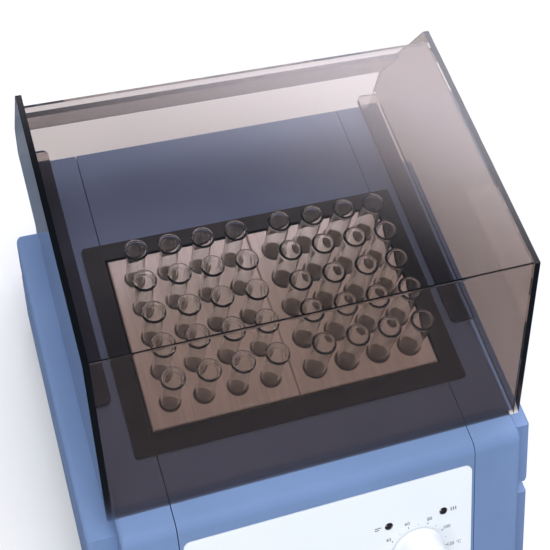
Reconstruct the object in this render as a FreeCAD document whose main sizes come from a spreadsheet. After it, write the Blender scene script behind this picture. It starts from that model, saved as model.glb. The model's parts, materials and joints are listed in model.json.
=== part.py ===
import FreeCAD, Part
import os
import re
import Sketcher

# Dry block heater: two drilled aluminium blocks full of test tubes, set flush in a blue casing with
# a sloping control panel, under a lift-off cover of smoked acrylic.
#
# Lengths are millimetres. X runs to the right, Y to the rear, Z up. The origin lies on the bench
# under the middle of the whole object. Inside the model each piece is drawn in a frame whose
# origin is on the bench under the centre of the two blocks; HOME carries that frame to its place.

SIZES = {
    # casing
    "foot_height": 6,          # bench to underside of the tray
    "foot_web": 2,             # rubber left above the recess for the screw
    "body_height": 102,        # underside of the tray to the deck
    "casing_width": 208,       # across the two side casings
    "centre_width": 155,       # across the pieces between the two lengthwise seams
    "seam_gap": 0.5,           # width of those seams
    "front_edge": 98,          # deck's front corner, ahead of the blocks' centre
    "rear_edge": 118,          # deck's rear corner, behind the blocks' centre
    "slope_height": 88,        # height of the sloping front
    "slope_run": 62.9,         # how far the sloping front comes forward
    "casing_wall": 2.5,
    "bend_radius": 8,          # deck to sloping front
    "corner_radius": 2.5,      # outer edges of the casing
    "deck_lip": 6,             # how far the rear deck panel turns down
    "vent_width": 4,
    "vent_length": 55,
    "vent_front": 40,          # front end of the first row of vents, ahead of the blocks' centre
    "vent_row_pitch": 75,
    # side wings: a cheek above and a skirt below the finger gap
    "wing_width": 14.5,
    "wing_drop": 14,           # deck to the top of the cheek
    "cheek_height": 30,
    "grip_gap": 6,             # finger gap under the cheek
    "wing_setback": 18.5,      # behind the sloping front
    "wing_rear": 83,           # rear end, behind the blocks' centre
    "wing_wall": 2.5,
    "wing_radius": 3,
    "wing_screw_spread": 60,   # wing screws, ahead of and behind the blocks' centre
    "boss_radius": 3.5,
    # blocks and wells
    "block_width": 76,
    "block_depth": 95.5,
    "block_height": 50,
    "block_gap": 0.4,          # seam between the two blocks
    "block_rise": 1,           # blocks above the deck
    "block_chamfer": 0.6,
    "well_pitch": 17.5,
    "left_well": 10.8,         # diameters of the wells
    "right_well": 12.6,
    "well_depth": 46.5,
    "well_chamfer": 0.4,
    # test tubes
    "tube_length": 75,
    "left_tube": 9.8,          # outside diameters of the tubes
    "right_tube": 11.4,
    "tube_wall": 1,
    "tube_rim": 12.4,          # outside diameter of the flared rims
    "tube_seat": 0.4,          # round bottom above the bottom of the well
    # black surround
    "surround_width": 175.4,
    "surround_front": 59.6,
    "surround_rear": 58.3,
    "surround_rise": 1.2,
    "surround_radius": 1.5,
    "block_clearance": 1.2,    # gap round the blocks
    "lining_wall": 1.5,
    "lining_depth": 8,
    "opening_gap": 1,          # lining to the hole in the deck
    # heater under the blocks
    "plate_height": 6,
    "mat_height": 1.5,
    "mat_margin": 4,
    "pad_height": 10,
    "pan_wall": 1,
    "pan_flange": 8,
    "pan_drop": 6,             # deck's underside to the pan's flange
    "collar_wall": 7,
    "pan_screw_inset": 4.5,
    "pan_screw_y": 40,
    "probe_radius": 1.5,
    "probe_gap": 0.1,
    "probe_tip": 20,           # bottom of the probe's hole, behind the blocks' centre
    "probe_tail": 4,           # how far the probe stands out of the pan
    "cutout_x": 30,
    "cutout_y": 10,
    "cutout_radius": 8,
    "cutout_height": 7,
    "cutout_ear": 4,           # how far each fixing ear reaches
    "ear_width": 8,
    "tab_spread": 4,
    "tab_width": 0.8,
    "tab_height": 7,
    # control panel on the sloping front
    "fascia_width": 151.5,
    "fascia_top": 9.5,         # down the slope from the deck's corner
    "fascia_height": 89,
    "fascia_radius": 4,
    "fascia_thickness": 1,
    "fascia_sink": 0.7,
    "fascia_gap": 0.25,
    "knob_x": 44.5,
    "knob_down": 55,           # knob's axis, down the slope
    "knob_radius": 14.7,
    "knob_grip": 13.2,         # radius of the part that is gripped
    "knob_height": 13,
    "knob_gap": 0.7,           # knob above the fascia
    "pointer_width": 1.2,
    "pointer_depth": 0.8,
    "socket_roof": 2.5,        # thickness of the knob above its shaft
    "lamp_spread": 15.2,
    "lamp_down": 34,
    "lamp_radius": 2.2,
    "lamp_rise": 0.6,
    "shaft_radius": 3,
    "bushing_radius": 3.5,
    "pot_radius": 8.5,
    "pot_height": 10,
    "pot_floor": 2,
    "nut_height": 2,
    "running_gap": 0.05,       # shaft to bushing, pin to housing
    "thread_gap": 0.05,
    # rear panel and what it carries
    "panel_sheet": 2,
    "panel_lap": 8,            # how far the panel laps behind the side casings
    "panel_edge": 0.5,         # clearance round the panel
    "inlet_x": 46,
    "inlet_z": 34,             # middle of the inlet, above the top edge of the tray
    "inlet_width": 50,
    "inlet_height": 44,
    "inlet_flange": 3,
    "socket_width": 24.4,
    "socket_height": 16.4,
    "socket_depth": 18,
    "inlet_wall": 2,
    "inlet_depth": 24,
    "pin_spread": 7,
    "pin_width": 2,
    "pin_height": 4,
    "pin_length": 15,
    "drawer_width": 24,
    "drawer_height": 11,
    "drawer_gap": 0.3,
    "fuse_radius": 2.5,
    "fuse_length": 20,
    "switch_x": -20,
    "switch_z": 34,            # middle of the switch, above the top edge of the tray
    "rocker_width": 15,
    "rocker_height": 21,
    "rocker_gap": 0.8,
    "rocker_tilt": 8,          # degrees, switched off
    "rocker_tail": 5,          # rocker behind its pin
    "rocker_end": 3.5,         # rocker's ends in front of the pin
    "rocker_crown": 5.2,       # rocker's middle in front of the pin
    "switch_wall": 2,
    "switch_depth": 18,
    "switch_rim": 2,
    "rim_margin": 1.5,         # rim beyond the housing, and its corner radius
    "rocker_pin": 1.25,
    "cutout_gap": 0.3,         # round the inlet and the switch where they pass the panel
    "earth_x": 10,
    "earth_radius": 2,
    "earth_length": 12,
    "earth_nut_radius": 4,
    "earth_nut_height": 3,
    # control board on the tray's floor
    "board_left": -62,
    "board_right": 22,
    "board_front": -138,
    "board_rear": -72,
    "board_height": 1.6,
    "standoff_height": 8,
    "standoff_radius": 3,
    "standoff_inset": 5,
    "board_margin": 12,        # rear parts of the board to its rear edge
    "coil_left": 8,            # transformer's coil, from the board's left edge
    "coil_width": 28,
    "coil_depth": 26,
    "coil_height": 20,
    "core_inset": 5,
    "core_reach": 4,
    "sink_left": 44,           # heat sink, from the board's left edge
    "sink_pitch": 5,
    "fin_width": 1.5,
    "fin_depth": 12,
    "sink_height": 19,
    "web_depth": 3,
    "triac_width": 10,
    "triac_depth": 4.5,
    "triac_height": 15,
    "strip_left": 42,          # terminal strip, from the board's left edge
    "strip_front": 14,
    "strip_depth": 9,
    "strip_height": 10,
    "terminal_pitch": 5,
    # feet and screws
    "foot_radius": 9,
    "foot_taper": 1.5,
    "foot_x": 88,
    "foot_front": 135,
    "foot_rear": 95,
    "post_radius": 4.5,
    "screw_radius": 1.5,
    "screw_head_radius": 2.8,
    "screw_head_height": 2,
    "screw_gap": 0.2,          # round a screw where it passes through
    "pilot_gap": 0.05,         # round a screw where it bites
    "casing_bite": 16,         # how deep the casing screws go into their posts
    "wing_bite": 9,
    "panel_bite": 3,
    # smoked acrylic cover
    "cover_sheet": 3,
    "cover_width": 215,
    "cover_front": 86,         # foot of the front sheet, ahead of the blocks' centre
    "cover_slope_run": 42.5,
    "cover_height": 83,
    "cover_bend_radius": 1.2,
    "cover_top_rear": 100.5,   # rear top corner of a side panel
    "cover_rear": 127.5,       # rearmost edge of a side panel
    "cover_kink": 22,          # height at which the rear edge turns upright
    "cover_sheet_rear": 93.7,  # rear edge of the top sheet
    "strip_top": 46.6,
    "runner_width": 12.5,
    "runner_front": 29,
    "runner_rear": 123.7,
    "runner_radius": 3,
}

WELL_COLUMNS = 4
WELL_ROWS = 5
VENT_ROWS = 2
VENTS_PER_ROW = 9
HEATSINK_FINS = 6
TERMINALS = 6

document = FreeCAD.newDocument("dry_block_heater")
sheet = document.addObject("Spreadsheet::Sheet", "Sizes")
for row, (size_name, value) in enumerate(SIZES.items(), start=1):
    sheet.set(f"A{row}", size_name)
    sheet.set(f"B{row}", str(value))
    sheet.setAlias(f"B{row}", size_name)
document.recompute()

Vector = FreeCAD.Vector
sub_parts = []


# ---------------------------------------------------------------- expressions

def linked(text):
    """Point every size name in an expression at the spreadsheet."""
    return re.sub(r"[a-z]\w+", lambda word: f"Sizes.{word[0]}" if word[0] in SIZES else word[0], str(text))


def number(text):
    """Work an expression of size names out to a plain number."""
    result = sheet.evalExpression(str(text))
    return float(getattr(result, "Value", result))


def at(x, y, z, axis="vector(0; 0; 1)", angle="0"):
    """A placement, as an expression."""
    return f"placement(vector({x}; {y}; {z}); rotation({axis}; {angle}))"


def slant(thickness, run, rise):
    """Level distance through a sheet of this thickness that leans by run over rise."""
    return f"({thickness} * sqrt(1 + ({run} / {rise})^2))"


DECK = "(foot_height + body_height)"
LIP = "(foot_height + body_height - slope_height)"
FLOOR = "(foot_height + casing_wall)"
HALF_CASING = "(casing_width / 2)"
HALF_CENTRE = "((centre_width - seam_gap) / 2)"
FRONT_FOOT = "(front_edge + slope_run)"
FRONT_WALL = slant("casing_wall", "slope_run", "slope_height")
HOME = at(0, "(front_edge + slope_run - cover_rear) / 2", 0)
# On the sloping front: x to the right, y up the slope, z out of the panel.
SLOPE = f"{HOME} * {at(0, '-front_edge', DECK, 'vector(1; 0; 0)', 'atan(slope_height / slope_run)')}"
KNOB_AXIS = f"{SLOPE} * {at('knob_x', '-knob_down', 0)}"
FASCIA_FACE = "(fascia_thickness - fascia_sink)"
POT_BACK = "(-casing_wall - pot_height)"
NUT_RADIUS = "(bushing_radius * 1.7)"
BLOCK_TOP = f"({DECK} + block_rise)"
PLATE_TOP = f"({BLOCK_TOP} - block_height)"
MAT_TOP = f"({PLATE_TOP} - plate_height)"
PAD_TOP = f"({MAT_TOP} - mat_height)"
PAN_FLOOR = f"({PAD_TOP} - pad_height)"
PAN_TOP = f"({DECK} - casing_wall - pan_drop)"
HALF_BLOCKS_X = "(block_width + block_gap / 2)"
HALF_BLOCKS_Y = "(block_depth / 2)"
OPENING = "(block_clearance + lining_wall + opening_gap)"
PAN_HALF_X = f"({HALF_BLOCKS_X} + block_clearance + collar_wall + pan_wall)"
PAN_HALF_Y = f"({HALF_BLOCKS_Y} + block_clearance + collar_wall + pan_wall)"
PROBE_LEVEL = f"({MAT_TOP} + plate_height / 2)"
PANEL_FACE = "(rear_edge - casing_wall)"
INLET_FACE = f"({PANEL_FACE} + inlet_flange)"
INLET_HALF_X = "(socket_width / 2 + inlet_wall)"
INLET_HALF_Z = "(inlet_height / 2 - 1)"
INLET_MIDDLE = f"({LIP} + inlet_z)"
SWITCH_MIDDLE = f"({LIP} + switch_z)"
SOCKET_LOW = f"({INLET_MIDDLE} - {INLET_HALF_Z} + inlet_wall)"
SOCKET_BACK = f"({INLET_FACE} - socket_depth)"
DRAWER_LOW = f"({INLET_MIDDLE} + {INLET_HALF_Z} - inlet_wall - drawer_height)"
DRAWER_BACK = f"({SOCKET_BACK} - 1)"
SWITCH_HALF_X = "(rocker_width / 2 + rocker_gap + switch_wall)"
SWITCH_HALF_Z = "(rocker_height / 2 + rocker_gap + switch_wall)"
ROCKER_AXIS_Y = f"({PANEL_FACE} - switch_rim)"
BOARD_LOW = f"({FLOOR} + standoff_height)"
BOARD_TOP = f"({BOARD_LOW} + board_height)"
COVER = f"{HOME} * {at(0, 0, DECK)}"
COVER_INSIDE = "(cover_width / 2 - cover_sheet)"
REAR_LEAN = "((cover_rear - cover_top_rear) / (cover_height - cover_kink))"
ALONG_X = ("vector(0; 1; 0)", "90")
ALONG_Y = ("vector(1; 0; 0)", "-90")
UPRIGHT = ("vector(0; 0; 1)", "0")
CLEARANCE_HOLE = "(screw_radius + screw_gap)"
PILOT_HOLE = "(screw_radius + pilot_gap)"
DOWNWARD = ("vector(1; 0; 0)", "180")


# ---------------------------------------------------------------- building blocks

def keep(piece):
    """Count a finished piece among the sub-parts; its label names its file."""
    sub_parts.append(piece)
    return piece


def around(centre, half, margin="0"):
    """Low and high place of something centred on a place."""
    return f"{centre} - ({half}) - {margin}", f"{centre} + {half} + {margin}"


def box(name, x, y, z, frame=HOME):
    """A box between a low and a high place along each axis."""
    piece = document.addObject("Part::Box", name)
    for length, (low, high) in zip(("Length", "Width", "Height"), (x, y, z)):
        piece.setExpression(length, linked(f"({high}) - ({low})"))
    piece.setExpression("Placement", linked(f"{frame} * {at(x[0], y[0], z[0])}"))
    return piece


def rod(name, radius, place, length, direction=UPRIGHT, frame=HOME):
    """A cylinder that starts at place and runs along direction."""
    piece = document.addObject("Part::Cylinder", name)
    piece.setExpression("Radius", linked(radius))
    piece.setExpression("Height", linked(length))
    piece.setExpression("Placement", linked(f"{frame} * {at(*place, *direction)}"))
    return piece


def prism(name, radius, height, place):
    """A hexagon, as wide as a circle of this radius across its corners."""
    piece = document.addObject("Part::Prism", name)
    piece.Polygon = 6
    piece.setExpression("Circumradius", linked(radius))
    piece.setExpression("Height", linked(height))
    piece.setExpression("Placement", linked(place))
    return piece


def joined(name, *pieces):
    result = document.addObject("Part::MultiFuse", name)
    result.Shapes = list(pieces)
    return result


def cut(name, base, *tools):
    result = document.addObject("Part::Cut", name)
    result.Base = base
    result.Tool = tools[0] if len(tools) == 1 else joined(f"{name}_cutters", *tools)
    return result


def group(name, pieces):
    """Separate solids that share one node."""
    result = document.addObject("Part::Compound", name)
    result.Links = list(pieces)
    return result


def mirrored(name, source):
    """The same piece on the other side of the plane X = 0."""
    result = document.addObject("Part::Mirroring", name)
    result.Source = source
    result.Normal = Vector(1, 0, 0)
    return result


def new_body(name, frame=HOME):
    body = document.addObject("PartDesign::Body", name)
    body.setExpression("Placement", linked(frame))
    return body


def new_sketch(body, role, offset="0"):
    """An empty sketch on one of the body's origin planes, moved along the plane's normal."""
    sketch = body.newObject("Sketcher::SketchObject", f"{body.Name}_sketch")
    plane = next(item for item in body.Origin.OriginFeatures if item.Role == role)
    sketch.AttachmentSupport = (plane, [""])
    sketch.MapMode = "FlatFace"
    sketch.setExpression("AttachmentOffset", linked(at(0, 0, offset)))
    return sketch


def fix_point(sketch, geometry, end, place):
    """Hold one end of a sketch element at a pair of expressions measured from the origin."""
    for kind, text in zip(("DistanceX", "DistanceY"), place):
        index = sketch.addConstraint(Sketcher.Constraint(kind, -1, 1, geometry, end, number(text)))
        sketch.setExpression(f"Constraints[{index}]", linked(text))


def outline(body, role, points, offset="0"):
    """A closed outline of straight runs through points, each a pair of expressions."""
    sketch = new_sketch(body, role, offset)
    corners = [Vector(number(u), number(v), 0) for u, v in points]
    for index, corner in enumerate(corners):
        following = corners[(index + 1) % len(corners)]
        sketch.addGeometry(Part.LineSegment(corner, following), False)
    for index, place in enumerate(points):
        following = (index + 1) % len(corners)
        sketch.addConstraint(Sketcher.Constraint("Coincident", index, 2, following, 1))
        fix_point(sketch, index, 1, place)
    return sketch


def circles(body, places, diameter, offset="0"):
    """Circles of one diameter on the body's XY plane."""
    sketch = new_sketch(body, "XY_Plane", offset)
    for index, place in enumerate(places):
        centre = Vector(number(place[0]), number(place[1]), 0)
        sketch.addGeometry(Part.Circle(centre, Vector(0, 0, 1), number(diameter) / 2), False)
        fix_point(sketch, index, 3, place)
        constraint = sketch.addConstraint(Sketcher.Constraint("Diameter", index, number(diameter)))
        sketch.setExpression(f"Constraints[{constraint}]", linked(diameter))
    return sketch


def pad(body, sketch, length, midplane=False):
    feature = body.newObject("PartDesign::Pad", f"{body.Name}_pad")
    feature.Profile = sketch
    feature.Midplane = midplane
    feature.setExpression("Length", linked(length))
    sketch.Visibility = False
    document.recompute()
    return feature


def pocket(body, sketch, length, reverse=False):
    """Cut a sketch's outline into the body, and make sure that the cut met it."""
    before = body.Shape.Volume
    feature = body.newObject("PartDesign::Pocket", f"{body.Name}_pocket")
    feature.Profile = sketch
    feature.Reversed = reverse
    feature.setExpression("Length", linked(length))
    document.recompute()
    if body.Shape.Volume >= before:
        raise ValueError(f"the pocket in {body.Name} cuts nothing")
    return feature


def dress(body, kind, setting, amount, chosen):
    """Round or bevel the edges of the body's last feature that chosen picks."""
    base = body.Tip
    names = [f"Edge{index}" for index, edge in enumerate(base.Shape.Edges, start=1) if chosen(edge)]
    if not names:
        raise ValueError(f"no edge to dress on {body.Name}")
    feature = body.newObject(f"PartDesign::{kind}", f"{body.Name}_{kind.lower()}")
    feature.Base = (base, names)
    feature.setExpression(setting, linked(amount))
    document.recompute()


def round_edges(body, radius, chosen):
    dress(body, "Fillet", "Radius", radius, chosen)


def bevel_edges(body, width, chosen):
    dress(body, "Chamfer", "Size", width, chosen)


def near(value, text):
    """Whether a measured value is the one that an expression gives."""
    return abs(value - number(text)) < 0.01


def upright(edge):
    """Whether an edge is straight and runs along the body's Z."""
    box_of_edge = edge.BoundBox
    return box_of_edge.ZLength > 0.1 and box_of_edge.XLength < 0.01 and box_of_edge.YLength < 0.01


def rounded_plate(name, x, y, z, radius, frame=HOME):
    """A flat plate with round corners, between low and high places along each axis."""
    body = new_body(name, f"{frame} * {at(0, 0, z[0])}")
    corners = [(x[0], y[0]), (x[1], y[0]), (x[1], y[1]), (x[0], y[1])]
    pad(body, outline(body, "XY_Plane", corners), f"({z[1]}) - ({z[0]})")
    round_edges(body, radius, upright)
    return body


def side_profile(name, points, width, start, frame=HOME):
    """A plate whose outline is drawn in the YZ plane and that runs from X = start to the right."""
    body = new_body(name, frame)
    pad(body, outline(body, "YZ_Plane", points, start), width)
    return body


def turned(name, profile, frame=HOME):
    """A round piece: its half outline, as (radius, height) pairs, turned about the frame's Z."""
    body = new_body(name, frame)
    sketch = outline(body, "XZ_Plane", profile)
    feature = body.newObject("PartDesign::Revolution", f"{name}_turning")
    feature.Profile = sketch
    feature.ReferenceAxis = (sketch, ["V_Axis"])
    feature.Angle = 360
    document.recompute()
    return body


def screw(name, length, place, direction):
    """A pan-head screw whose head rests at place and whose shank runs against direction."""
    profile = [
        (0, f"-({length})"),
        ("screw_radius", f"-({length})"),
        ("screw_radius", 0),
        ("screw_head_radius", 0),
        ("screw_head_radius", "screw_head_height * 0.6"),
        ("screw_head_radius * 0.7", "screw_head_height"),
        (0, "screw_head_height"),
    ]
    return turned(name, profile, f"{HOME} * {at(*place, *direction)}")


def slope_y(height):
    """Y of the sloping front's outer face at a height above the bench."""
    return f"(-front_edge - slope_run * ({DECK} - ({height})) / slope_height)"


def foot_places():
    """The four feet, as (name, x, y)."""
    for side, sign in (("left", "-"), ("right", "")):
        yield f"front_{side}", f"{sign}foot_x", "-foot_front"
        yield f"rear_{side}", f"{sign}foot_x", "foot_rear"


def pan_screw_places():
    """The four screws in the pan's flanges, as (name, x, y)."""
    for side, sign in (("left", "-"), ("right", "")):
        x = f"{sign}({PAN_HALF_X} + pan_screw_inset)"
        yield f"front_{side}", x, "-pan_screw_y"
        yield f"rear_{side}", x, "pan_screw_y"


def probe_duct(name):
    """Hole for the temperature probe, from its tip out past the pan."""
    start = (0, "probe_tip", PROBE_LEVEL)
    return rod(f"{name}_duct", "probe_radius + probe_gap", start, f"{PAN_HALF_Y} + 1 - probe_tip", ALONG_Y)


def around_blocks(margin="0"):
    """Low and high places, along X and along Y, of the two blocks together, grown by a margin."""
    return around("0", HALF_BLOCKS_X, margin), around("0", HALF_BLOCKS_Y, margin)


def board_corners():
    """The board's four fixing holes, as (name, x, y)."""
    for side, x in (("left", "board_left + standoff_inset"), ("right", "board_right - standoff_inset")):
        yield f"front_{side}", x, "board_front + standoff_inset"
        yield f"rear_{side}", x, "board_rear - standoff_inset"


# ---------------------------------------------------------------- tray, feet and casing screws

def base_tray():
    """Shallow tray that closes the casing below, with vents and four screw posts."""
    shell = new_body("tray_shell")
    outside = [
        (f"-{HALF_CASING}", f"-{FRONT_FOOT}"),
        (HALF_CASING, f"-{FRONT_FOOT}"),
        (HALF_CASING, "rear_edge"),
        (f"-{HALF_CASING}", "rear_edge"),
    ]
    inside = [
        (f"-{HALF_CASING} + casing_wall", f"-{FRONT_FOOT} + casing_wall"),
        (f"{HALF_CASING} - casing_wall", f"-{FRONT_FOOT} + casing_wall"),
        (f"{HALF_CASING} - casing_wall", "rear_edge - casing_wall"),
        (f"-{HALF_CASING} + casing_wall", "rear_edge - casing_wall"),
    ]
    pad(shell, outline(shell, "XY_Plane", outside, "foot_height"), f"{LIP} - foot_height")
    round_edges(shell, "corner_radius", upright)
    pocket(shell, outline(shell, "XY_Plane", inside, LIP), f"{LIP} - {FLOOR}")
    posts = []
    holes = []
    for corner, x, y in foot_places():
        posts.append(rod(f"tray_post_{corner}", "post_radius", (x, y, "foot_height"), f"{LIP} - foot_height"))
        holes.append(rod(f"tray_hole_{corner}", CLEARANCE_HOLE, (x, y, 0), DECK))
    for row_of_vents in range(VENT_ROWS):
        for vent in range(VENTS_PER_ROW):
            x = f"casing_width / {VENTS_PER_ROW + 3} * {vent - (VENTS_PER_ROW - 1) / 2}"
            y = f"-vent_front + vent_row_pitch * {row_of_vents}"
            holes.append(box(f"vent_{row_of_vents}_{vent}", around(x, "vent_width / 2"),
                             (y, f"{y} + vent_length"), (0, LIP)))
    keep(cut("base_tray", joined("tray_with_posts", shell, *posts), *holes))


def rubber_feet():
    """Four round rubber feet, each with a deep recess for its screw."""
    feet = []
    for corner, x, y in foot_places():
        profile = [
            (CLEARANCE_HOLE, "foot_height - foot_web"),
            ("screw_head_radius + screw_gap", "foot_height - foot_web"),
            ("screw_head_radius + screw_gap", 0),
            ("foot_radius - foot_taper", 0),
            ("foot_radius", "foot_height"),
            (CLEARANCE_HOLE, "foot_height"),
        ]
        feet.append(turned(f"foot_{corner}", profile, f"{HOME} * {at(x, y, 0)}"))
    keep(group("rubber_feet", feet))


def casing_screws():
    """Long screws that go up through the feet and the tray into the side casings."""
    seat = "(foot_height - foot_web)"
    screws = [screw(f"casing_screw_{corner}", f"{LIP} + casing_bite - {seat}", (x, y, seat), DOWNWARD)
              for corner, x, y in foot_places()]
    keep(group("casing_screws", screws))


# ---------------------------------------------------------------- side casings and wings

def casing_outline(wall="0", slope_wall="0"):
    """Side view of the casing above the tray, moved inwards by a wall."""
    return [
        (f"-{FRONT_FOOT} + {slope_wall}", LIP),
        (f"{slope_y(f'{DECK} - {wall}')} + {slope_wall}", f"{DECK} - {wall}"),
        (f"rear_edge - {wall}", f"{DECK} - {wall}"),
        (f"rear_edge - {wall}", LIP),
    ]


def wing_screw_places():
    """Screws that hold the two wings of one side, as (name, y, z)."""
    cheek_z = f"{DECK} - wing_drop - cheek_height / 2"
    skirt_z = f"({DECK} - wing_drop - cheek_height - grip_gap + foot_height) / 2"
    for name, z in (("side_cheek", cheek_z), ("side_skirt", skirt_z)):
        yield f"{name}_front", "-wing_screw_spread", z
        yield f"{name}_rear", "wing_screw_spread", z


def side_casings():
    """Right and left casing: deck strip, front corner, side and rear wall in one shell."""
    inner_x = f"{HALF_CENTRE} + seam_gap"
    shell = new_body("casing_shell")
    pad(shell, outline(shell, "YZ_Plane", casing_outline(), inner_x), f"{HALF_CASING} - ({inner_x})")
    round_edges(shell, "bend_radius", lambda edge: edge.BoundBox.XLength > 1
                and near(edge.CenterOfMass.y, "-front_edge") and near(edge.CenterOfMass.z, DECK))
    round_edges(shell, "corner_radius", lambda edge: near(edge.BoundBox.XMin, HALF_CASING)
                and edge.BoundBox.ZMax > number(LIP) + 0.1)
    cavity = side_profile("casing_cavity", casing_outline("casing_wall", FRONT_WALL),
                          f"{HALF_CASING} - casing_wall - ({inner_x}) + 1", f"{inner_x} - 1")
    wells = box("casing_opening", *around_blocks(OPENING), (LIP, f"{DECK} + 1"))
    front_post_top = f"{DECK} - slope_height * (foot_front + post_radius - front_edge) / slope_run - 0.5"
    additions = [
        rod("casing_front_post", "post_radius", ("foot_x", "-foot_front", LIP), f"{front_post_top} - {LIP}"),
        rod("casing_rear_post", "post_radius", ("foot_x", "foot_rear", LIP), f"{DECK} - casing_wall - {LIP}"),
    ]
    holes = []
    for place, y in (("front", "-foot_front"), ("rear", "foot_rear")):
        holes.append(rod(f"casing_pilot_{place}", PILOT_HOLE, ("foot_x", y, LIP), "casing_bite + 4"))
    for corner, x, y in pan_screw_places():
        if corner.endswith("right"):
            additions.append(rod(f"pan_boss_{corner}", "boss_radius", (x, y, PAN_TOP), "pan_drop + 0.5"))
            holes.append(rod(f"pan_pilot_{corner}", PILOT_HOLE, (x, y, PAN_TOP), "pan_drop"))
    for place, y, z in wing_screw_places():
        start = (f"{HALF_CASING} - casing_wall - 1", y, z)
        holes.append(rod(f"wing_hole_{place}", CLEARANCE_HOLE, start, "casing_wall + 2", ALONG_X))
    for level, z in panel_screw_levels():
        start = (f"{HALF_CENTRE} + panel_lap / 2", "rear_edge - casing_wall - 1", z)
        holes.append(rod(f"panel_hole_{level}", CLEARANCE_HOLE, start, "casing_wall + 2", ALONG_Y))
    hollow = cut("casing_hollow", shell, cavity, wells)
    right = keep(cut("side_casing_right", joined("casing_with_posts", hollow, *additions), *holes))
    keep(mirrored("side_casing_left", right))


def wing_front(height, wall="0"):
    """Y of a wing's sloping front end at a height, moved back by a wall."""
    return f"({slope_y(height)} + wing_setback + {wall})"


def wing(name, low, high, upright_top):
    """Hollow shell along the right side, open towards the casing, with two screw bosses.

    Its front end stands upright as far as upright_top and leans like the sloping front above it.
    """
    front_wall = slant("wing_wall", "slope_run", "slope_height")
    roof = f"({high} - wing_wall)"
    outside = [(wing_front(upright_top), upright_top), (wing_front(high), high),
               ("wing_rear", high), ("wing_rear", low)]
    inside = [(wing_front(roof, front_wall), roof), ("wing_rear - wing_wall", roof),
              ("wing_rear - wing_wall", f"{low} + wing_wall")]
    if upright_top == low:
        inside.append((wing_front(f"{low} + wing_wall", front_wall), f"{low} + wing_wall"))
    else:
        outside.append((wing_front(upright_top), low))
        inside.append((wing_front(upright_top, front_wall), f"{low} + wing_wall"))
        inside.append((wing_front(upright_top, front_wall), upright_top))
    shell = side_profile(f"{name}_shell", outside, "wing_width", HALF_CASING)
    round_edges(shell, "wing_radius", lambda edge: near(edge.BoundBox.XMin, f"{HALF_CASING} + wing_width"))
    cavity = side_profile(f"{name}_cavity", inside, "wing_width - wing_wall + 1", f"{HALF_CASING} - 1")
    hollow = cut(f"{name}_hollow", shell, cavity)
    bosses = []
    pilots = []
    for place, y, z in wing_screw_places():
        if place.startswith(name):
            start = (HALF_CASING, y, z)
            depth = "wing_width - wing_wall"
            bosses.append(rod(f"boss_{place}", "boss_radius", start, f"{depth} + 0.5", ALONG_X))
            pilots.append(rod(f"pilot_{place}", PILOT_HOLE, start, depth, ALONG_X))
    right = keep(cut(f"{name}_right", joined(f"{name}_bossed", hollow, *bosses), *pilots))
    keep(mirrored(f"{name}_left", right))


def wings():
    """Cheeks above and skirts below the finger gaps."""
    cheek_top = f"({DECK} - wing_drop)"
    cheek_low = f"({DECK} - wing_drop - cheek_height)"
    wing("side_cheek", cheek_low, cheek_top, cheek_low)
    wing("side_skirt", "foot_height", f"({cheek_low} - grip_gap)", LIP)


def wing_screws():
    """Screws from inside the side casings into the wings."""
    inward = ("vector(0; 1; 0)", "-90")
    screws = []
    for place, y, z in wing_screw_places():
        start = (f"{HALF_CASING} - casing_wall", y, z)
        right = screw(f"wing_screw_{place}", "casing_wall + wing_bite", start, inward)
        screws += [right, mirrored(f"left_wing_screw_{place}", right)]
    keep(group("wing_screws", screws))


# ---------------------------------------------------------------- pieces between the seams

def front_bezel():
    """Bent centre panel: the deck in front of the blocks and the sloping front."""
    rear = f"-{HALF_BLOCKS_Y} - {OPENING}"
    profile = [
        (f"-{FRONT_FOOT}", LIP),
        ("-front_edge", DECK),
        (rear, DECK),
        (rear, f"{DECK} - casing_wall"),
        (f"{slope_y(f'{DECK} - casing_wall')} + {FRONT_WALL}", f"{DECK} - casing_wall"),
        (f"-{FRONT_FOOT} + {FRONT_WALL}", LIP),
    ]
    bent = side_profile("bezel_sheet", profile, f"{HALF_CENTRE} * 2", f"-{HALF_CENTRE}")
    under = f"({DECK} - casing_wall)"
    bends = (("bend_radius", "-front_edge", DECK),
             ("bend_radius - casing_wall", f"{slope_y(under)} + {FRONT_WALL}", under))
    for radius, y, z in bends:
        round_edges(bent, radius, lambda edge, y=y, z=z: edge.BoundBox.XLength > 1
                    and near(edge.CenterOfMass.y, y) and near(edge.CenterOfMass.z, z))
    recess = fascia_plate("fascia_recess", "fascia_gap", "-fascia_sink", "1")
    keep(cut("front_bezel", bent, recess, *panel_holes("bezel", "casing_wall")))


def fascia_plate(name, margin, low, high):
    """The fascia's outline on the sloping front, grown by a margin."""
    x = (f"-fascia_width / 2 - {margin}", f"fascia_width / 2 + {margin}")
    y = (f"-fascia_top - fascia_height - {margin}", f"-fascia_top + {margin}")
    return rounded_plate(name, x, y, (low, high), f"fascia_radius + {margin}", SLOPE)


def panel_holes(name, depth):
    """Holes for the potentiometer's bushing and the two lamps."""
    low = f"-{depth} - 1"
    length = f"{depth} + 3"
    holes = [rod(f"{name}_knob_hole", "bushing_radius + thread_gap", ("knob_x", "-knob_down", low), length,
                 frame=SLOPE)]
    for side, sign in (("left", "-"), ("right", "+")):
        place = (f"knob_x {sign} lamp_spread", "-lamp_down", low)
        holes.append(rod(f"{name}_lamp_hole_{side}", "lamp_radius + thread_gap", place, length, frame=SLOPE))
    return holes


def fascia():
    """White control plate, sunk into the bezel so that a little of its edge stands out."""
    plate = fascia_plate("fascia_blank", "0", "-fascia_sink", "fascia_thickness - fascia_sink")
    keep(cut("fascia", plate, *panel_holes("fascia", "fascia_sink")))


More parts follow.
